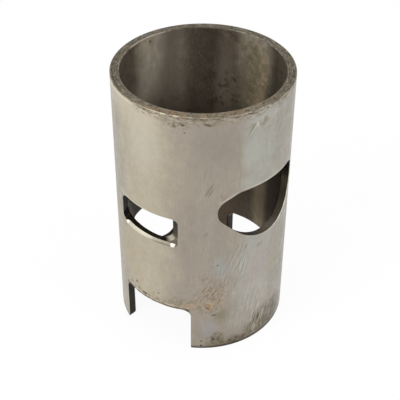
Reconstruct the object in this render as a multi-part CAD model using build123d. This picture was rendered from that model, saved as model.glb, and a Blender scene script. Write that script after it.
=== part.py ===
from build123d import *
import math
import os

# Plain (flangeless) cylinder liner of a small two-stroke engine: a turned grey-iron
# tube with an exhaust port, two transfer ports, an intake port and a skirt that is
# notched on both sides so that the crankcase feeds the transfer passages.
#
# Millimetres. The origin is the centre of the bottom face and +Z runs up the bore.
# The exhaust port faces -Y, the intake port +Y, the transfer ports and the skirt
# notches face -X and +X, so the liner is mirrored about the plane X = 0.
# Heights named DEPTH are measured down from the top face, as ports are timed;
# heights named HEIGHT are measured up from the bottom face.

# Tube
BORE_DIAMETER = 72.0
WALL = 4.0
LENGTH = 131.0
TOP_BORE_CHAMFER = 0.4
TOP_RIM_CHAMFER = 0.3
BOTTOM_BORE_CHAMFER = 1.0
BOTTOM_RIM_CHAMFER = 0.4

# Ports: the piston crown uncovers exhaust and transfers down to one level
PORT_FLOOR_DEPTH = 67.7
PORT_EDGE_BREAK = 0.5
EXHAUST_RIM_BREAK = 0.3

# Exhaust port: an egg-shaped window, wide above and round below. Below each upright
# side a corner arc leads to the floor, which is one arc whose radius is the half width
# less the inset.
EXHAUST_TOP_DEPTH = 38.5
EXHAUST_CROWN = 0.9
EXHAUST_CROWN_RADIUS = 200.0
EXHAUST_SHOULDER_HALF_WIDTH = 15.8
EXHAUST_SHOULDER_RADIUS = 6.5
EXHAUST_HALF_WIDTH = 24.05
EXHAUST_SHOULDER_DROP = 5.2
EXHAUST_UPPER_SIDE_RADIUS = 6.8
EXHAUST_SIDE_FLAT = 1.34
EXHAUST_LOWER_SIDE_RADIUS = 7.5
EXHAUST_FLOOR_INSET = 0.8

# Transfer ports: side walls aimed away from the exhaust. Angles are taken round the
# outside of the tube from the middle of the exhaust port; headings are taken from
# straight across the bore towards the intake.
TRANSFER_FRONT_ANGLE = 62.0
TRANSFER_REAR_ANGLE = 110.2
TRANSFER_FRONT_HEADING = 70.0
TRANSFER_REAR_HEADING = 25.0
TRANSFER_HEIGHT = 14.5
TRANSFER_FRONT_FLOOR_RADIUS = 5.0
TRANSFER_FRONT_ROOF_RADIUS = 2.8
TRANSFER_REAR_FLOOR_RADIUS = 2.5
TRANSFER_REAR_ROOF_RADIUS = 4.2

# Lip of each transfer port: the floor's outer edge, rolled over with a pointed burr
# whose axis is upright and stands clear of the tube. The burr stops short of each side
# wall by an angle, and clear of the rear wall's floor corner.
LIP_WIDTH = 1.3
LIP_DROP = 1.7
LIP_START_SLOPE = 32.0
LIP_END_SLOPE = 70.0
LIP_BURR_OFFSET = 1.0
LIP_FRONT_ANGLE = 3.4
LIP_REAR_ANGLE = 6.6
LIP_TRIM_HEIGHT = 3.2

# Intake port: a rectangular window with round corners, low in the rear of the skirt
INTAKE_WIDTH = 34.0
INTAKE_BOTTOM_HEIGHT = 8.0
INTAKE_TOP_HEIGHT = 37.5
INTAKE_CORNER_RADIUS = 6.0

# Skirt notches: one slot milled straight across both sides of the skirt
NOTCH_WIDTH = 36.5
NOTCH_CENTRE_OFFSET = -5.25
NOTCH_HEIGHT = 24.8
NOTCH_CORNER_RADIUS = 3.6
NOTCH_MOUTH_RADIUS = 1.2

# How far a cutter runs past the metal that it cuts, and how close counts as touching
OVERRUN = 5.0
TOUCH = 1e-3

# Where the turned section is drawn: clear of every port and notch
SEAM_ANGLE = -45.0

BORE_RADIUS = BORE_DIAMETER / 2
OUTER_RADIUS = BORE_RADIUS + WALL
PORT_FLOOR_Z = LENGTH - PORT_FLOOR_DEPTH
PORT_ROOF_Z = PORT_FLOOR_Z + TRANSFER_HEIGHT
TRANSFER_REACH = 2.5 * WALL


def turned_tube():
    """The tube as it leaves the lathe, with its four end chamfers."""
    top_bore = BORE_RADIUS + TOP_BORE_CHAMFER
    top_rim = OUTER_RADIUS - TOP_RIM_CHAMFER
    bottom_bore = BORE_RADIUS + BOTTOM_BORE_CHAMFER
    bottom_rim = OUTER_RADIUS - BOTTOM_RIM_CHAMFER
    section = Polyline(
        (bottom_bore, 0),
        (bottom_rim, 0),
        (OUTER_RADIUS, BOTTOM_RIM_CHAMFER),
        (OUTER_RADIUS, LENGTH - TOP_RIM_CHAMFER),
        (top_rim, LENGTH),
        (top_bore, LENGTH),
        (BORE_RADIUS, LENGTH - TOP_BORE_CHAMFER),
        (BORE_RADIUS, BOTTOM_BORE_CHAMFER),
        close=True,
    )
    facing = Plane.XZ.rotated((0, 0, SEAM_ANGLE))
    return revolve(facing * make_face(section), Axis.Z)


def exhaust_cutter():
    """The exhaust outline, driven straight in from the front."""
    top = LENGTH - EXHAUST_TOP_DEPTH
    shoulder = top - EXHAUST_CROWN
    upper_side = shoulder - EXHAUST_SHOULDER_DROP
    slant = EXHAUST_HALF_WIDTH - EXHAUST_SHOULDER_HALF_WIDTH
    upper_turn = math.atan2(slant, EXHAUST_SHOULDER_DROP)
    side_top = upper_side - EXHAUST_UPPER_SIDE_RADIUS * math.tan(upper_turn / 2)
    side_end = side_top - EXHAUST_SIDE_FLAT

    # The straight below each side is tangent to the corner arc and to the floor arc
    floor_radius = EXHAUST_HALF_WIDTH - EXHAUST_FLOOR_INSET
    across = EXHAUST_HALF_WIDTH - EXHAUST_LOWER_SIDE_RADIUS
    rise = side_end - (PORT_FLOOR_Z + floor_radius)
    shrink = floor_radius - EXHAUST_LOWER_SIDE_RADIUS
    lower_turn = math.acos(shrink / math.hypot(across, rise)) - math.atan2(rise, across)
    lower_side = side_end - EXHAUST_LOWER_SIDE_RADIUS * math.tan(lower_turn / 2)
    apex = lower_side - EXHAUST_HALF_WIDTH / math.tan(lower_turn)

    corners = [
        (EXHAUST_SHOULDER_HALF_WIDTH, shoulder, EXHAUST_SHOULDER_RADIUS),
        (EXHAUST_HALF_WIDTH, upper_side, EXHAUST_UPPER_SIDE_RADIUS),
        (EXHAUST_HALF_WIDTH, lower_side, EXHAUST_LOWER_SIDE_RADIUS),
    ]
    right = [(x, z) for x, z, radius in corners]
    left = [(-x, z) for x, z, radius in reversed(corners)]
    radii = [radius for x, z, radius in corners]
    outline = FilletPolyline(
        (0, top),
        *right,
        (0, apex),
        *left,
        radius=[EXHAUST_CROWN_RADIUS, *radii, floor_radius, *reversed(radii)],
        close=True,
    )
    return extrude(Plane.XZ * make_face(outline), amount=OUTER_RADIUS + OVERRUN)


def intake_cutter():
    """The intake window, driven straight in from the rear."""
    height = INTAKE_TOP_HEIGHT - INTAKE_BOTTOM_HEIGHT
    window = RectangleRounded(INTAKE_WIDTH, height, INTAKE_CORNER_RADIUS)
    middle = Pos(0, INTAKE_BOTTOM_HEIGHT + height / 2)
    return extrude(Plane.XZ * middle * window, amount=-(OUTER_RADIUS + OVERRUN))


def notch_cutter():
    """The slot across the skirt: round upper corners, and a rounded mouth below."""
    front = NOTCH_CENTRE_OFFSET - NOTCH_WIDTH / 2
    rear = NOTCH_CENTRE_OFFSET + NOTCH_WIDTH / 2
    mouth = NOTCH_MOUTH_RADIUS
    flare = mouth + OVERRUN
    outline = FilletPolyline(
        (front - flare, -OVERRUN),
        (front - flare, 0),
        (front, 0),
        (front, NOTCH_HEIGHT),
        (rear, NOTCH_HEIGHT),
        (rear, 0),
        (rear + flare, 0),
        (rear + flare, -OVERRUN),
        radius=[0, 0, mouth, NOTCH_CORNER_RADIUS, NOTCH_CORNER_RADIUS, mouth, 0, 0],
        close=True,
    )
    return extrude(Plane.YZ * make_face(outline), amount=OUTER_RADIUS + OVERRUN, both=True)


def outside_point(angle):
    """A point on the outside of the +X half, at an angle from the exhaust."""
    return Vector(
        OUTER_RADIUS * math.sin(math.radians(angle)),
        -OUTER_RADIUS * math.cos(math.radians(angle)),
    )


def inward(heading):
    """The unit vector in from the +X side, turned towards the intake."""
    return Vector(-math.cos(math.radians(heading)), math.sin(math.radians(heading)))


def transfer_window():
    """The port on the +X side: a slanted block with one radius along each corner."""
    front = outside_point(TRANSFER_FRONT_ANGLE)
    rear = outside_point(TRANSFER_REAR_ANGLE)
    front_reach = inward(TRANSFER_FRONT_HEADING) * TRANSFER_REACH
    rear_reach = inward(TRANSFER_REAR_HEADING) * TRANSFER_REACH
    plan = Polyline(
        front - front_reach,
        front + front_reach,
        rear + rear_reach,
        rear - rear_reach,
        close=True,
    )
    block = extrude(Pos(0, 0, PORT_FLOOR_Z) * make_face(plan), amount=TRANSFER_HEIGHT)
    for corner, height, radius in (
        (front, PORT_FLOOR_Z, TRANSFER_FRONT_FLOOR_RADIUS),
        (front, PORT_ROOF_Z, TRANSFER_FRONT_ROOF_RADIUS),
        (rear, PORT_FLOOR_Z, TRANSFER_REAR_FLOOR_RADIUS),
        (rear, PORT_ROOF_Z, TRANSFER_REAR_ROOF_RADIUS),
    ):
        middle = Vector(corner.X, corner.Y, height)
        edges = [edge for edge in block.edges() if edge.distance_to(middle) < TOUCH]
        block = fillet(edges, radius)
    return block


def burr_section(axis_distance):
    """Half the burr, with its upright axis at a distance: a rolled flank and a point."""
    radius = LIP_WIDTH + LIP_BURR_OFFSET
    turn = LIP_END_SLOPE - LIP_START_SLOPE
    chord = math.hypot(LIP_WIDTH, LIP_DROP)
    slope = math.radians(LIP_START_SLOPE)
    flank = JernArc(
        start=(axis_distance - radius, PORT_FLOOR_Z),
        tangent=(math.cos(slope), -math.sin(slope)),
        radius=chord / (2 * math.sin(math.radians(turn / 2))),
        arc_size=-turn,
    )
    point_drop = LIP_BURR_OFFSET * math.tan(math.radians(LIP_END_SLOPE))
    top = PORT_FLOOR_Z + LIP_TRIM_HEIGHT
    body = Polyline(
        flank @ 1,
        (axis_distance, (flank @ 1).Y - point_drop),
        (axis_distance, top),
        (axis_distance - radius, top),
        flank @ 0,
    )
    return make_face([flank, body])


def transfer_lip():
    """What the burr takes off the floor's outer edge, from one side wall to the other."""
    path_radius = OUTER_RADIUS + LIP_BURR_OFFSET
    start = TRANSFER_FRONT_ANGLE + LIP_FRONT_ANGLE
    end = TRANSFER_REAR_ANGLE - LIP_REAR_ANGLE
    facing = Plane.XZ.rotated((0, 0, start - 90))
    lip = revolve(facing * burr_section(path_radius), Axis.Z, end - start)
    burr = revolve(Plane.XZ * burr_section(0), Axis.Z)
    for angle in (start, end):
        turn = math.radians(angle)
        place = Pos(path_radius * math.sin(turn), -path_radius * math.cos(turn), 0)
        lip += place * burr
    return lip


def wall_edges(liner, cutter, radius):
    """The edges that a cutter has left at one radius of the tube's wall."""
    edges = ShapeList()
    for edge in liner.edges():
        middle = edge @ 0.5
        on_wall = abs(math.hypot(middle.X, middle.Y) - radius) < TOUCH
        if on_wall and 0 < middle.Z < LENGTH and cutter.distance_to(middle) < TOUCH:
            edges.append(edge)
    return edges


def open_port(liner, cutter):
    """Cut one port or notch, and break its edges in the bore for the rings' sake."""
    liner = liner - cutter
    return chamfer(wall_edges(liner, cutter, BORE_RADIUS), PORT_EDGE_BREAK)


exhaust = exhaust_cutter()
transfer = transfer_window() + transfer_lip()
liner = open_port(turned_tube(), exhaust)
liner = chamfer(wall_edges(liner, exhaust, OUTER_RADIUS), EXHAUST_RIM_BREAK)
for cutter in (transfer, mirror(transfer, Plane.YZ), intake_cutter(), notch_cutter()):
    liner = open_port(liner, cutter)

os.makedirs("parts", exist_ok=True)
export_step(liner, "parts/cylinder_liner.step")
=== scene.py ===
import math

import bmesh
import bpy
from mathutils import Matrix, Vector

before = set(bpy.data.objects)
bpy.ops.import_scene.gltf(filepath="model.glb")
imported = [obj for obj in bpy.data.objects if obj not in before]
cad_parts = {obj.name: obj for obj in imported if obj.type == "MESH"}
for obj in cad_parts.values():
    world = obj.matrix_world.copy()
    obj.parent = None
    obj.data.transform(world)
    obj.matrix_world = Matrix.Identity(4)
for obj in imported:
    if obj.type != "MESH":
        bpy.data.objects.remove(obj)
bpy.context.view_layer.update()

# ---------------------------------------------------------------------------
# The liner. One tube of grey cast iron, ground outside, honed in the bore and
# milled through for its ports and skirt slot. It is a used part: burnt oil has
# browned the bore and the port walls, and the outside is stained and rubbed.
# ---------------------------------------------------------------------------
# Lengths are in millimetres, and heights run up from the skirt's end. Angles are in
# degrees round from the middle of the exhaust port, and the transfer port that faces
# -X lies at the angles below nought.
MM_PER_M = 1000.0
OUTSIDE_R = 40.0
BORE_R = 36.0
LENGTH = 131.0
MOUTH_BREAK = 0.4       # the broken edge at the bore's mouth
RIM_BREAK = 0.3         # the broken edge at the rim
PORT_FLOOR_Z = 63.3
PORT_ROOF_Z = 77.8
SIDE_PORT_FROM = 62.0
SIDE_PORT_TO = 110.5
LIP_DROP = 1.7
SLOT_TOP = 24.8
SLOT_FROM = 56.0
SLOT_TO = 108.0

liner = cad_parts["cylinder_liner"]


def linear(hex_colour):
    """An sRGB hex value as the linear colour that a shader takes."""
    values = []
    for at in (0, 2, 4):
        value = int(hex_colour[at:at + 2], 16) / 255
        if value <= 0.04045:
            values.append(value / 12.92)
        else:
            values.append(((value + 0.055) / 1.055) ** 2.4)
    return (*values, 1.0)


def add(material, kind, settings=None):
    """Add a node. A setting is a property's or an input's value, or the output that feeds it."""
    node = material.node_tree.nodes.new(kind)
    for name, value in (settings or {}).items():
        if isinstance(value, bpy.types.NodeSocket):
            material.node_tree.links.new(value, node.inputs[name])
        elif isinstance(name, str) and hasattr(node, name):
            setattr(node, name, value)
        else:
            node.inputs[name].default_value = value
    return node


# Grey cast iron, ground: a satin metal whose sheen is broad and soft, and whose colour
# is close to its own grey, because the ground skin is too rough to mirror the room.
iron = bpy.data.materials.new("ground_grey_cast_iron")
iron.use_nodes = True
iron.node_tree.nodes.clear()
for slot in liner.material_slots:
    slot.material = iron

# Where a point lies: in millimetres, its distance from the bore's axis, its angle round,
# its angle whichever side it is on, and its place on the outside rolled out flat.
metres = add(iron, "ShaderNodeTexCoord").outputs["Object"]
place = add(iron, "ShaderNodeVectorMath",
            {"operation": "SCALE", 0: metres, "Scale": MM_PER_M}).outputs[0]
xyz = add(iron, "ShaderNodeSeparateXYZ", {0: place})
height = xyz.outputs["Z"]
level_place = add(iron, "ShaderNodeVectorMath",
                  {"operation": "MULTIPLY", 0: place, 1: (1, 1, 0)}).outputs[0]
radius = add(iron, "ShaderNodeVectorMath", {"operation": "LENGTH", 0: level_place}).outputs[1]
front = add(iron, "ShaderNodeMath",
            {"operation": "MULTIPLY", 0: xyz.outputs["Y"], 1: -1.0}).outputs[0]
angle = add(iron, "ShaderNodeMath",
            {"operation": "ARCTAN2", 0: xyz.outputs["X"], 1: front}).outputs[0]
turn = add(iron, "ShaderNodeMath",
           {"operation": "MULTIPLY", 0: angle, 1: math.degrees(1)}).outputs[0]
side_turn = add(iron, "ShaderNodeMath", {"operation": "ABSOLUTE", 0: turn}).outputs[0]
round_mm = add(iron, "ShaderNodeMath",
               {"operation": "MULTIPLY", 0: angle, 1: OUTSIDE_R}).outputs[0]
rolled_out = add(iron, "ShaderNodeCombineXYZ", {"X": round_mm, "Z": height}).outputs[0]


def where(*masks):
    """Where all of these masks hold: their product. A mask may also be a plain share."""
    cover = masks[0]
    for mask in masks[1:]:
        cover = add(iron, "ShaderNodeMath",
                    {"operation": "MULTIPLY", 0: cover, 1: mask}).outputs[0]
    return cover


def lay(under, colour, *masks):
    """Lay a colour over what is there, where the masks hold. Either may be a hex value."""
    below, above = (linear(tone) if isinstance(tone, str) else tone for tone in (under, colour))
    return add(iron, "ShaderNodeMix",
               {"data_type": "RGBA", 0: where(*masks), 6: below, 7: above}).outputs[2]


def band(value, low, high, fade):
    """1 where a value lies between two limits, and fading past them. None is no limit."""
    limits = []
    if low is not None:
        limits.append((low - fade, low))
    if high is not None:
        limits.append((high + fade, high))
    return where(*(add(iron, "ShaderNodeMapRange",
                       {"interpolation_type": "SMOOTHSTEP", "clamp": False,
                        "From Min": outer, "From Max": inner, "Value": value}).outputs[0]
                   for outer, inner in limits))


def lay_bands(under, way_round, rows):
    """Lay each row's colour in a band between two angles, and two heights if it has them."""
    for turn_from, turn_to, turn_fade, low, high, fade, tone, share in rows:
        masks = [band(way_round, turn_from, turn_to, turn_fade)]
        if fade:
            masks.append(band(height, low, high, fade))
        under = lay(under, tone, *masks, share)
    return under


def grain(wide, tall=None, lean=0.0, detail=3.0, low=0.35, high=0.65, bend=0.0, flat=False):
    """A noise mask of 0 to 1, whose blotches are about so many millimetres wide and tall."""
    spread = add(iron, "ShaderNodeMapping",
                 {"vector_type": "TEXTURE", "Rotation": (0, math.radians(lean), 0),
                  "Scale": (wide, wide, tall or wide), "Vector": rolled_out if flat else place})
    noise = add(iron, "ShaderNodeTexNoise",
                {"Scale": 1.0, "Detail": detail, "Roughness": 0.6, "Distortion": bend,
                 "Vector": spread.outputs[0]})
    return add(iron, "ShaderNodeMapRange",
               {"From Min": low, "From Max": high, "Value": noise.outputs[0]}).outputs[0]


def swayed(value, reach, noise):
    """A value shifted to both sides by a noise mask of 0 to 1, as far as the reach."""
    shift = add(iron, "ShaderNodeMath",
                {"operation": "MULTIPLY_ADD", 0: noise, 1: 2 * reach, 2: -reach}).outputs[0]
    return add(iron, "ShaderNodeMath", {"operation": "ADD", 0: value, 1: shift}).outputs[0]


# Stains end raggedly: the rolled-out place is shifted a few millimetres by noise.
TORN = 4.5
torn_round = swayed(round_mm, TORN, grain(4.5, detail=4.0, low=0.0, high=1.0))
torn_height = swayed(height, TORN, grain(4.3, detail=4.0, low=0.0, high=1.0, lean=50.0))
torn_place = add(iron, "ShaderNodeCombineXYZ", {"X": torn_round, "Z": torn_height}).outputs[0]


def patch(degrees_round, up, half_width, half_height, lean=0.0, edge=0.4, torn=True):
    """A soft patch on the outside, centred at an angle from the exhaust and a height."""
    spot = add(iron, "ShaderNodeMapping",
               {"vector_type": "TEXTURE",
                "Location": (math.radians(degrees_round) * OUTSIDE_R, 0, up),
                "Rotation": (0, math.radians(lean), 0),
                "Scale": (half_width, 1, half_height),
                "Vector": torn_place if torn else rolled_out})
    ball = add(iron, "ShaderNodeTexGradient",
               {"gradient_type": "SPHERICAL", "Vector": spot.outputs[0]})
    return add(iron, "ShaderNodeMapRange",
               {"interpolation_type": "SMOOTHSTEP", "clamp": False, "From Max": 1.0 - edge,
                "Value": ball.outputs[1]}).outputs[0]


# The ground outside: a warm oxide film on the side towards the transfer port, and greyer
# metal round the exhaust port, whose limits wander 4 degrees to each side. These tones round
# the tube are partly that film and partly painted light: a painted sheen that lightens and
# darkens the outside by angle.
FILM_AND_SHEEN = "BEB49E"
METAL = "9E9489"
COOL_METAL = "A5A59D"
TONE_AND_SHEEN_BANDS = (
    # degrees round from and to, fade, height from and to, fade, colour, share
    (-118.0, -82.0, 28.0, None, None, None, FILM_AND_SHEEN, 1.0),
    (-150.0, -113.0, 14.0, None, None, None, "A9A294", 1.0),
    (60.0, 140.0, 40.0, None, None, None, FILM_AND_SHEEN, 0.7),
    (-17.0, 24.0, 11.0, None, None, None, COOL_METAL, 1.0),
    (9.0, 20.0, 8.0, None, None, None, "948D82", 0.55),
    (9.0, 40.0, 8.0, None, 56.0, 8.0, "999286", 0.5),
    (-30.0, 12.0, 8.0, None, 20.0, 14.0, "9C948A", 0.7),
    (-50.0, 60.0, 10.0, None, 7.0, 9.0, "6F6553", 0.28),
)
outside = lay_bands(METAL, swayed(turn, 4.0, grain(8.0, 12.0, detail=4.0)), TONE_AND_SHEEN_BANDS)

# Faint cloudy tones over it, 12 mm and 5 mm across. The grinding's own grain is some
# hundredths of a millimetre, too fine to show, so it is drawn about 1 mm wide.
outside = lay(outside, "B6AF9F", grain(12.0, 30.0), 0.25)
outside = lay(outside, "8A8176", grain(5.0, 15.0), 0.16)
outside = lay(outside, "857B6D", grain(0.9, 1.44, detail=2.0), 0.14)
outside = lay(outside, "C6BFB0", grain(1.1, 5.5, detail=2.0, low=0.5, high=0.7), 0.12)

# Textures for the stains. Rust comes in short leaning flecks, rub marks and oil strokes
# are long and lean a little, and the rest is smears, pits and blotches. A real rub mark
# is some hundredths of a millimetre wide, too fine to show, so it is drawn 0.6 mm and up.
FLECKED = grain(1.0, 2.6, lean=30.0, detail=3.0, low=0.46, high=0.58, flat=True)
SCRATCHED = grain(0.6, 8.4, lean=11.0, detail=2.0, low=0.48, high=0.64, bend=0.3, flat=True)
SCRATCHED_TOO = grain(0.7, 7.7, lean=18.0, detail=2.0, low=0.50, high=0.64, bend=0.3, flat=True)
RUBBED = grain(1.4, 9.8, lean=13.0, detail=4.0, low=0.48, high=0.64, bend=0.6, flat=True)
STROKED = grain(1.2, 6.0, lean=18.0, detail=4.0, low=0.42, high=0.58, bend=0.5, flat=True)
SMEARED = grain(2.4, 6.0, lean=30.0, detail=5.0, low=0.42, high=0.62, bend=0.6, flat=True)
PITTED = grain(1.0, 0.9, detail=3.0, low=0.54, high=0.62, flat=True)
BLOTCHED = grain(2.2, 1.76, detail=5.0, low=0.44, high=0.60, flat=True)

# Each mark lies at an angle and a height, and is drawn by a texture or is plain.
MARKS = (
    # degrees round, height, half width, half height, lean, edge, colour, share, texture
    # the film is thicker low down, thinner towards the rim, and dull between the ports
    (-106, 48, 18, 26, 0, 0.0, "AEA28A", 0.75, None),
    (-86, 114, 13, 24, 0, 0.0, "CAC3B4", 0.60, None),
    (-38, 116, 16, 18, 0, 0.0, "938A80", 0.70, None),
    # round the slot's front corner: rust
    (-41, 31, 11, 13, 20, 0.0, "C0AA8A", 0.80, SMEARED),
    (-41, 33, 10, 14, 25, 0.4, "6B5A40", 0.55, FLECKED),
    (-39, 33, 10, 14, 22, 0.3, "584B36", 0.48, PITTED),
    (-43.6, 27.5, 3.4, 1.6, 20, 0.0, "A08060", 0.65, None),
    (-34, 21.5, 6, 8, 20, 0.0, "7C765E", 0.65, None),
    (-44, 46, 5, 9, 20, 0.1, "85745B", 0.55, FLECKED),
    # under the exhaust port: rub marks that lean towards it
    (-35, 52, 7, 10, 0, 0.0, "9EA7A6", 0.50, None),
    (-23, 47, 12, 20, 12, 0.3, "C6C2B8", 0.50, SCRATCHED),
    (-27, 50, 10, 15, 12, 0.3, "77736B", 0.55, SCRATCHED_TOO),
    (-8, 44, 10, 22, 15, 0.3, "A89D98", 0.50, None),
    (7, 42, 6, 9, 0, 0.3, "A29B86", 0.40, None),
    (-9, 25, 11, 20, 10, 0.3, "C2BDB4", 0.50, RUBBED),
    (-22, 18, 8, 14, 15, 0.3, "BCB8AE", 0.28, RUBBED),
    (-7, 58, 3.6, 2.2, -20, 0.1, "857B58", 0.55, None),
    # dried oil along the bottom
    (3, 5, 20, 14, -12, 0.0, "6E6651", 0.88, None),
    (-42, 13, 7, 9, 0, 0.0, "94959B", 0.50, None),
    (-2, 10, 14, 11, -10, 0.0, "50472F", 0.95, STROKED),
    (-16, 5, 7, 5, 0, 0.1, "73694F", 0.65, BLOTCHED),
    (13, 10, 9, 10, 15, 0.1, "4E4632", 0.90, STROKED),
    (-3, 9, 13, 9, -10, 0.2, "CCC6B8", 0.60, SCRATCHED_TOO),
    (-28, 4, 16, 6, 0, 0.0, "6B6450", 0.55, SMEARED),
    (-2, 3, 22, 4.5, 0, 0.2, "5A5140", 0.80, BLOTCHED),
    (-36, 5.5, 7, 5.5, -12, 0.0, "7C745C", 0.60, None),
    (-37, 7.0, 5.5, 4.5, -12, 0.0, "4A4231", 0.95, BLOTCHED),
    (-27, 2.0, 17, 4.5, 0, 0.0, "5E563F", 0.80, None),
    (-24, 3.0, 13, 3.5, 0, 0.1, "453E2F", 0.85, BLOTCHED),
    # over the exhaust port's near shoulder, and the faint upright line above it
    (-30.5, 93.0, 9, 2.0, -28, 0.0, "7F7154", 0.85, SMEARED),
    (-20, 97, 9, 4.5, -28, 0.1, "B7BAB2", 0.40, SMEARED),
    # under the rim, towards the exhaust port
    # a pale bluish painted highlight just under the rim
    (-4, 126.0, 17, 4.0, 0, 0.1, "C2C4C2", 0.50, SMEARED),
    (-8, 124.3, 5, 3.0, -28, 0.0, "7A6F4E", 0.60, None),
    (-17, 124, 5, 2.4, 0, 0.0, "857C60", 0.80, BLOTCHED),
    (-5, 119.5, 3, 2.2, 0, 0.2, "8C8368", 0.60, BLOTCHED),
    (-15, 110, 8, 11, 0, 0.3, "B9BAB0", 0.28, None),
    (-13, 104, 3.0, 6, 25, 0.3, "8F9181", 0.40, BLOTCHED),
    (4, 121, 9, 6, 0, 0.2, "98917F", 0.60, SMEARED),
    (-44, 127.8, 2.0, 0.9, 0, 0.3, "75634D", 0.80, None),
    (-64, 127.6, 10, 2.6, 0, 0.0, "6A5840", 0.90, BLOTCHED),
    (-43, 128.6, 9, 1.8, 0, 0.0, "5E4E38", 0.90, BLOTCHED),
    # along the top of the skirt slot
    (-86, 26.6, 24, 2.0, 0, 0.2, "6B5A3E", 0.70, BLOTCHED),
    (-61, 28.5, 11, 5.5, 0, 0.0, "86754F", 0.95, BLOTCHED),
    (-61, 28.5, 10, 4.5, 0, 0.0, "4E402B", 0.90, PITTED),
    (-84, 30.0, 4, 2.4, 0, 0.2, "8B7D60", 0.60, BLOTCHED),
    (-97, 31.0, 4, 1.4, 0, 0.2, "8E7D5C", 0.60, BLOTCHED),
    (-77, 33.2, 1.9, 0.7, 0, 0.2, "96A098", 0.60, None),
    (-57, 27.2, 5, 2.2, 0, 0.0, "BFA284", 0.60, None),
    # the sides and the rear
    (-128, 60, 8, 40, 0, 0.3, "A39C8D", 0.50, RUBBED),
    (-150, 12, 20, 10, -10, 0.2, "6A604C", 0.60, SMEARED),
    (-140, 100, 12, 18, 0, 0.2, "A0988A", 0.45, RUBBED),
    (50, 40, 12, 22, -12, 0.3, "C3BEB2", 0.45, SCRATCHED_TOO),
    (44, 28, 9, 7, -20, 0.1, "84694A", 0.70, FLECKED),
    (92, 27.6, 28, 2.2, 0, 0.2, "7A6C50", 0.70, BLOTCHED),
    (75, 110, 14, 12, 0, 0.2, "A8A294", 0.50, SMEARED),
    (120, 50, 12, 30, 10, 0.3, "8C8475", 0.40, RUBBED),
    (145, 8, 20, 9, 0, 0.2, "5F5644", 0.70, SMEARED),
    (150, 44, 16, 4, 0, 0.1, "7C6A4C", 0.60, FLECKED),
    (140, 95, 12, 22, 8, 0.3, "C2BCAE", 0.40, SCRATCHED),
)
for bearing, up, half_wide, half_high, lean, edge, stain, share, texture in MARKS:
    masks = [patch(bearing, up, half_wide, half_high, lean, edge), share]
    if texture:
        masks.append(texture)
    outside = lay(outside, stain, *masks)

# Sharp little marks: slashes, specks and pits, placed as the marks are.
NICKS = (
    # degrees round, height, half width, half height, lean, colour, share
    (-43.0, 95.0, 0.8, 5.0, 27, "7E7468", 0.60),
    (-42.0, 93.5, 0.4, 3.6, 27, "6B6055", 0.55),
    (-24.4, 112.0, 0.5, 9.0, -3, "94937A", 0.60),
    (-23.7, 99.5, 0.45, 7.0, 3, "8F8E74", 0.60),
    (-45.5, 103.0, 0.5, 4.0, 8, "877D72", 0.40),
    (-41.5, 105.0, 0.4, 5.0, 5, "8A8075", 0.40),
    (-44.5, 71.0, 0.8, 2.0, 40, "82776C", 0.45),
    (-46.5, 61.0, 0.5, 4.0, 12, "8A8075", 0.35),
    # pale lines along the exhaust port's top edge and near shoulder: a painted highlight
    (-30.3, 89.9, 6.5, 0.38, -28.7, "CBCABF", 0.60),
    (0.0, 93.0, 19.0, 0.40, 0, "CBCABF", 0.60),
    (-16.6, 122.6, 0.5, 3.8, 37, "79725F", 0.70),
    (-15.6, 122.4, 0.4, 3.6, 37, "CFCDC3", 0.40),
    (-13.0, 124.0, 0.45, 2.0, -20, "D8D5CA", 0.50),
    (-3.0, 110.0, 0.6, 8.0, -4, "B8BAB3", 0.35),
    (-24.0, 61.0, 0.35, 2.8, 14, "77736B", 0.55),
    (-20.5, 61.5, 0.35, 2.2, 10, "77736B", 0.50),
    (-17.5, 60.5, 0.35, 2.0, 12, "6F6B63", 0.60),
    (-58.5, 127.0, 0.75, 0.55, 0, "40372C", 0.90),
    (-57.5, 123.5, 0.6, 0.45, 0, "5B5145", 0.85),
    (-36.8, 52.8, 0.55, 0.55, 0, "4A4B50", 0.80),
    (-38.5, 22.0, 1.5, 0.5, 0, "4A4034", 0.85),
    (-47.0, 5.1, 0.6, 0.6, 0, "383530", 0.95),
    (-47.0, 2.2, 0.75, 0.65, 0, "383530", 0.95),
    (-42.9, 26.4, 1.5, 0.45, 32, "6E4629", 0.85),
    (-77.0, 31.2, 1.2, 0.5, 0, "6E5B3E", 0.70),
    (-88.6, 26.9, 2.0, 0.9, 0, "463623", 0.85),
    (-96.4, 30.7, 0.9, 0.7, 0, "4B4236", 0.70),
    (-94.0, 28.0, 1.6, 0.6, 20, "5E5240", 0.60),
    (62.0, 98.0, 0.5, 5.5, -20, "776D61", 0.60),
    (133.0, 118.0, 0.7, 0.5, 0, "4B4236", 0.85),
    (160.0, 70.0, 0.45, 7.0, 12, "857B70", 0.55),
    (-165.0, 84.0, 0.5, 4.5, 30, "776D61", 0.55),
    (-120.0, 48.0, 0.6, 0.5, 0, "4B4236", 0.80),
)
NICK_EDGE = 0.5
for bearing, up, half_wide, half_high, lean, stain, share in NICKS:
    nick = patch(bearing, up, half_wide, half_high, lean, NICK_EDGE, torn=False)
    outside = lay(outside, stain, nick, share)

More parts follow.
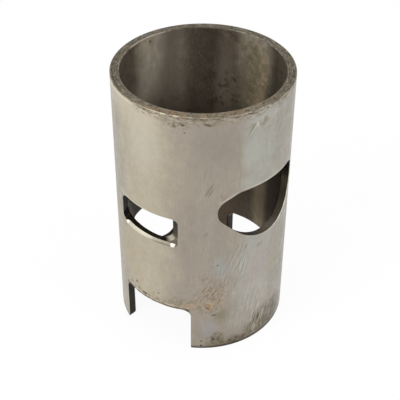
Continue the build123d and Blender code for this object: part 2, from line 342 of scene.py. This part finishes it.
# The rim: a worn pale edge on the warm side, and elsewhere dirt packed along it in flecks,
# with bright flakes where the dirt has chipped off.
DIRT_WORN_OFF = 0.95
warm_side = band(turn, -140.0, -98.0, 14.0)
dirty_side = add(iron, "ShaderNodeMath",
                 {"operation": "MULTIPLY_ADD",
                  0: warm_side, 1: -DIRT_WORN_OFF, 2: 1.0}).outputs[0]
dirt = grain(2.0, 0.8, detail=5.0, low=0.47, high=0.60)
packed_dirt = grain(2.6, 0.78, detail=4.0, low=0.44, high=0.58)
flakes = grain(1.98, 0.45, detail=3.0, low=0.57, high=0.67)
worn_rim = where(band(height, LENGTH - 1.5, None, 15.0), band(turn, -125.0, -82.0, 14.0))
outside = lay(outside, "CFC5AF", worn_rim, 0.55)
outside = lay(outside, "857660", band(height, LENGTH - 2.0, None, 2.6), dirt, 0.75, dirty_side)
outside = lay(outside, "5A4A35",
              band(height, LENGTH - 1.0, None, 0.7), packed_dirt, 0.80, dirty_side)
outside = lay(outside, "D2C8B4", band(height, LENGTH - 2.4, LENGTH - 0.8, 0.6), flakes, 0.60)
outside = lay(outside, "E2D9C6", band(height, LENGTH - 1.6, None, 0.6), warm_side, 0.45)

# The outside is darker in a thin band along the skirt's end, and the slot's upper edge has
# rust and bare metal.
over_slot = band(side_turn, SLOT_FROM, SLOT_TO, 2.0)
slot_edge = where(over_slot, band(height, SLOT_TOP + 0.8, SLOT_TOP + 1.6, 0.5))
slot_rust = where(over_slot, band(height, SLOT_TOP - 0.8, SLOT_TOP + 0.7, 0.4))
outside = lay(outside, "332D25", band(height, None, 1.0, 1.3), 0.80)
outside = lay(outside, "D4CBB6", slot_edge, grain(3.0, detail=4.0, low=0.40, high=0.60), 0.60)
outside = lay(outside, "4E4130",
              slot_rust, grain(2.4, 1.44, detail=4.0, low=0.38, high=0.50), 0.85)

# The honed bore: burnt oil has browned it. Its upright bands that fade into each other are
# painted reflections and painted shade, brightest on one side, and it is painted darkest below
# the ports as shade deep in the tube. Its bands are set out round from the intake port, so
# that they don't meet the angle's jump behind the bore.
BORE_FILM = "80776A"
BORE_SHEEN_AND_SHADE_BANDS = (
    # degrees round from the intake, from and to, fade, height from and to, fade, colour, share
    (1.0, 6.0, 17.0, 124.0, None, 34.0, "DAD1C0", 0.92),
    (60.0, 72.0, 10.0, None, None, None, "8B7E6E", 0.8),
    (40.0, 54.0, 11.0, None, None, None, "5B5146", 0.85),
    (-46.0, -32.0, 12.0, None, None, None, "6C6A62", 0.6),
    (-110.0, -70.0, 25.0, None, None, None, "9A8F7D", 0.6),
)
# The bright bands on one side are painted highlights, reflections of the lamps.
BORE_HIGHLIGHT_BANDS = (
    (85.0, 96.0, 15.0, 118.0, None, 16.0, "E9E0CE", 0.85),
    (90.0, 96.0, 11.0, 96.0, 116.0, 18.0, "F0DCB6", 0.86),
    (80.0, 88.0, 7.0, 100.0, 122.0, 12.0, "B9AD8F", 0.72),
    (97.0, 103.0, 9.0, 20.0, 76.0, 20.0, "8E7F66", 0.68),
)
rear_angle = add(iron, "ShaderNodeMath",
                 {"operation": "ARCTAN2", 0: xyz.outputs["X"], 1: xyz.outputs["Y"]}).outputs[0]
rear_turn = add(iron, "ShaderNodeMath",
                {"operation": "MULTIPLY", 0: rear_angle, 1: math.degrees(1)}).outputs[0]
rear_turn = swayed(rear_turn, 1.6, grain(9.0, 27.0, detail=3.0))
bore = lay_bands(BORE_FILM, rear_turn, BORE_SHEEN_AND_SHADE_BANDS)
bore = lay(bore, "61533F", grain(2.6, 7.8, detail=6.0, low=0.50, high=0.72), 0.28)
bore = lay(bore, "A39884", grain(0.8, 1.76, detail=3.0, low=0.48, high=0.68), 0.22)

# A brown stain beside the painted highlights, a pit by the mouth, and painted shade below
# the ports, deep in the tube.
stained = where(band(rear_turn, 56.0, 76.0, 12.0), band(height, 92.0, 104.0, 9.0))
bore = lay(bore, "46351F", stained, grain(3.2, detail=5.0, low=0.50, high=0.60), 0.60)
bore = lay(bore, "2A2119", patch(175.0, LENGTH - 2.4, 0.9, 0.7, torn=False), 0.85)
bore = lay(bore, "382B1B", band(height, None, PORT_FLOOR_Z + 10.7, 30.0), 0.80)
bore = lay_bands(bore, rear_turn, BORE_HIGHLIGHT_BANDS)

# Port and slot walls: milled faces under baked oil, with light and shade painted on by where
# they face: the side ports' floors are painted nearly black as shade, and the exhaust port's
# up-facing faces are painted lighter as light falling on them.
facing = add(iron, "ShaderNodeNewGeometry").outputs["Normal"]
upward = add(iron, "ShaderNodeSeparateXYZ", {0: facing}).outputs["Z"]
# Painted shade on the exhaust port's upper walls and on the walls towards the rear, and painted
# light on the exhaust port's sill and low on the transfer ports' front walls.
WALL_LIGHT_AND_SHADE_BANDS = (
    # degrees to each side from and to, fade, height from and to, fade, colour, share
    (12.0, 40.0, 4.0, 84.0, None, 8.0, "1E1A15", 0.85),
    (None, 14.0, 6.0, 60.0, 62.5, 3.0, "7C766C", 0.75),
    (52.0, 71.0, 1.0, 60.0, 68.0, 9.0, "8F8575", 0.55),
    (98.0, None, 4.0, None, None, None, "16120B", 0.80),
)
walls = lay("27221B", "433D32", grain(2.0, detail=4.0), 0.32)
walls = lay(walls, "4C463B", band(side_turn, None, 40.0, 3.0), band(upward, 0.5, None, 0.4), 0.70)
walls = lay_bands(walls, side_turn, WALL_LIGHT_AND_SHADE_BANDS)
walls = lay(walls, "2A241D", band(upward, 0.9, None, 0.08), band(side_turn, 50.0, None, 3.0))
# A painted highlight low in each transfer port's front corner, where the rounded corner faces up
# towards the light.
fillet_highlight = where(band(upward, 0.52, 0.66, 0.30),
                       band(side_turn, SIDE_PORT_FROM - 4.0, SIDE_PORT_FROM + 14.0, 2.0),
                       band(height, PORT_FLOOR_Z, PORT_FLOOR_Z + 7.7, 2.0))
walls = lay(walls, "CFC5B2", fillet_highlight, 0.72)

# The top face: scraped clean of the gasket in rings, which are drawn out to six times
# their width round the face, with brown and black dirt between them.
RING_DRAW = 0.16
drawn_round = add(iron, "ShaderNodeMath",
                  {"operation": "MULTIPLY", 0: round_mm, 1: RING_DRAW}).outputs[0]
ring_place = add(iron, "ShaderNodeCombineXYZ", {"X": drawn_round, "Y": radius}).outputs[0]
ring_noise = add(iron, "ShaderNodeTexNoise",
                 {"Scale": 1.3, "Detail": 6.0, "Roughness": 0.7, "Vector": ring_place}).outputs[0]
rings = add(iron, "ShaderNodeMapRange",
            {"From Min": 0.44, "From Max": 0.58, "Value": ring_noise}).outputs[0]
rusty = where(grain(3.4, detail=4.0, low=0.50, high=0.60), band(turn, -75.0, -25.0, 15.0))
top = lay("3F392F", "8E8675", rings, 0.75)
top = lay(top, "9C9180", band(turn, -85.0, -10.0, 30.0), 0.40)
top = lay(top, "615536", grain(5.0, detail=5.0, low=0.48, high=0.60), 0.50)
top = lay(top, "6E5A40", grain(2.2, detail=5.0, low=0.50, high=0.60), 0.45)
top = lay(top, "8E6E46", rusty, 0.55)
top = lay(top, "2A241D", grain(1.3, detail=4.0, low=0.54, high=0.62), 0.70)
top = lay(top, "B9B09C", grain(1.0, detail=3.0, low=0.60, high=0.67), 0.60)

# Which finish shows where. Faces are told apart by their place, to within a facet's error.
FACET = 0.05
on_bore = band(radius, None, BORE_R + 0.04, 0.03)
on_outside = band(radius, OUTSIDE_R - FACET, None, 0.03)
on_port_edge = where(band(radius, OUTSIDE_R - 0.34, None, 0.05),
                     band(height, SLOT_TOP + 0.7, LENGTH - 1.0, 0.3))
on_top = band(height, LENGTH - 0.02, None, 0.02)
on_rim = where(band(height, LENGTH - RIM_BREAK - 0.02, None, 0.02),
               band(radius, OUTSIDE_R - RIM_BREAK - 0.04, None, 0.02))
on_mouth = where(band(height, LENGTH - MOUTH_BREAK - 0.02, None, 0.02),
                 band(radius, None, BORE_R + MOUTH_BREAK + 0.1, 0.02))
# The ports' broken outer edges are painted pale: partly wear, partly a painted highlight on the
# edge.
colour = lay(walls, "9C988C", on_port_edge)
colour = lay(colour, bore, on_bore)
colour = lay(colour, outside, on_outside)
colour = lay(colour, top, on_top)

# The broken edges round the top are rubbed bright, unevenly: the rim's stays dirty, and
# the mouth's is palest in front and behind.
worn = grain(2.6, detail=4.0, low=0.36, high=0.60)
colour = lay(colour, "5C5245", on_rim)
colour = lay(colour, "9D9482", on_rim, worn)
colour = lay(colour, "4D483F", on_mouth)
colour = lay(colour, "857D6F", on_mouth, worn)
colour = lay(colour, "948B7A", on_mouth, band(turn, -110.0, 10.0, 25.0), 0.65)
colour = lay(colour, "3F3A31", on_mouth, band(turn, 112.0, 145.0, 15.0), 0.75)
colour = lay(colour, "A79F90", on_mouth, band(side_turn, 168.0, None, 8.0), 0.60)

# The rolled lip under each transfer port is painted bright as a highlight where it faces up
# to the light, and grey at its front end as painted shade, where a painted glint marks the
# burr's tip. The edge of the port's roof gets a painted highlight too.
on_lip = where(band(side_turn, SIDE_PORT_FROM, SIDE_PORT_TO, 0.5),
               band(height, PORT_FLOOR_Z - LIP_DROP - 0.9, PORT_FLOOR_Z - 0.03, 0.02),
               band(radius, BORE_R + 2.0, OUTSIDE_R - 0.11, 0.03))
burr_tip_glint = where(band(side_turn, SIDE_PORT_FROM + 3.2, SIDE_PORT_FROM + 5.0, 0.7),
                band(radius, BORE_R + 3.0, None, 0.2))
roof_edge_highlight = where(band(side_turn, 88.0, SIDE_PORT_TO - 1.0, 8.0),
                  band(height, PORT_ROOF_Z + 0.1, PORT_ROOF_Z + 0.5, 0.3))
colour = lay(colour, "787266", on_lip)
colour = lay(colour, "CFC8B7", on_lip, band(side_turn, 92.0, None, 18.0))
colour = lay(colour, "D6D1C4", on_lip, burr_tip_glint)
colour = lay(colour, "DAD2BF", roof_edge_highlight, on_outside, 0.55)

# Ground iron has a roughness of about 0.4, which grinding and wear vary, and a skin that
# is uneven by some hundredths of a millimetre. Under its film it isn't all bare metal.
roughness = add(iron, "ShaderNodeMapRange",
                {"To Min": 0.34, "To Max": 0.52, "Value": grain(3.0, detail=4.0)}).outputs[0]
skin = add(iron, "ShaderNodeTexNoise", {"Scale": 2.2, "Detail": 3.0, "Vector": place})
bump = add(iron, "ShaderNodeBump",
           {"Strength": 0.12, "Distance": 0.05 / MM_PER_M, "Height": skin.outputs[0]})
shader = add(iron, "ShaderNodeBsdfPrincipled",
             {"Metallic": 0.85, "Base Color": colour, "Roughness": roughness,
              "Normal": bump.outputs[0]})
add(iron, "ShaderNodeOutputMaterial", {"Surface": shader.outputs[0]})

# ---------------------------------------------------------------------------
# The room: a white floor that keeps a soft shadow, and a white surround that the
# metal reflects. Neither is part of the liner. Lengths are in metres.
# ---------------------------------------------------------------------------
FLOOR_HALF = 3.0
FLOOR_GLOW = 0.93       # the share of the floor's white that no shadow takes away
SURROUND = 0.8          # the light that the surround gives, where the camera sees 1

floor_shape = bmesh.new()
bmesh.ops.create_grid(floor_shape, x_segments=1, y_segments=1, size=FLOOR_HALF)
floor_mesh = bpy.data.meshes.new("floor")
floor_shape.to_mesh(floor_mesh)
floor_shape.free()
floor = bpy.data.objects.new("floor", floor_mesh)
bpy.context.scene.collection.objects.link(floor)


def seen_directly(material):
    """1 for rays that come from the camera, a reflection or glass."""
    rays = add(material, "ShaderNodeLightPath").outputs
    seen = add(material, "ShaderNodeMath",
               {"operation": "MAXIMUM", 0: rays["Is Camera Ray"], 1: rays["Is Glossy Ray"]})
    return add(material, "ShaderNodeMath",
               {"operation": "MAXIMUM", 0: seen.outputs[0],
                1: rays["Is Transmission Ray"]}).outputs[0]


# Matt white paint: it shows as the surround's white, only dimmer in the liner's shadow.
paint = bpy.data.materials.new("white_floor_paint")
paint.use_nodes = True
paint.node_tree.nodes.clear()
floor_mesh.materials.append(paint)
glowing = add(paint, "ShaderNodeMath",
              {"operation": "MULTIPLY", 0: seen_directly(paint), 1: FLOOR_GLOW}).outputs[0]
matt = add(paint, "ShaderNodeBsdfDiffuse", {"Color": linear("F7F7F7")}).outputs[0]
glow = add(paint, "ShaderNodeEmission", {"Color": linear("FFFFFF"), "Strength": 1.0}).outputs[0]
both = add(paint, "ShaderNodeMixShader", {0: glowing, 1: matt, 2: glow}).outputs[0]
add(paint, "ShaderNodeOutputMaterial", {"Surface": both})

world = bpy.data.worlds.new("white_room")
bpy.context.scene.world = world
world.use_nodes = True
world.node_tree.nodes.clear()
soft = add(world, "ShaderNodeBackground",
           {"Color": linear("FFFFFF"), "Strength": SURROUND}).outputs[0]
white = add(world, "ShaderNodeBackground", {"Color": linear("FFFFFF"), "Strength": 1.0}).outputs[0]
both = add(world, "ShaderNodeMixShader", {0: seen_directly(world), 1: soft, 2: white}).outputs[0]
add(world, "ShaderNodeOutputWorld", {"Surface": both})

LAMPS_AIM = Vector((0, 0, 0.065))   # the middle of the liner


def lamp(name, stand, size, watts):
    """A round soft lamp that points at the middle of the liner."""
    light = bpy.data.lights.new(name, "AREA")
    light.shape = "DISK"
    light.size = size
    light.energy = watts
    holder = bpy.data.objects.new(name, light)
    holder.location = stand
    holder.rotation_euler = (Vector(stand) - LAMPS_AIM).to_track_quat("Z", "Y").to_euler()
    bpy.context.scene.collection.objects.link(holder)


lamp("key", (-0.9, 0.1, 0.9), 0.7, 6)
lamp("fill", (0.3, -1.0, 0.6), 0.6, 3)

# The camera: a long lens that looks down past the rim into the bore.
lens = bpy.data.cameras.new("camera")
lens.sensor_width = 36
lens.lens = 85.109
lens.clip_start = 0.01
camera = bpy.data.objects.new("camera", lens)
camera.location = (-0.258095, -0.240677, 0.3348)
camera.rotation_euler = tuple(math.radians(tilt) for tilt in (51.98862, -0.27104, -46.61828))
bpy.context.scene.collection.objects.link(camera)
bpy.context.scene.camera = camera
bpy.context.scene.view_settings.view_transform = "Standard"
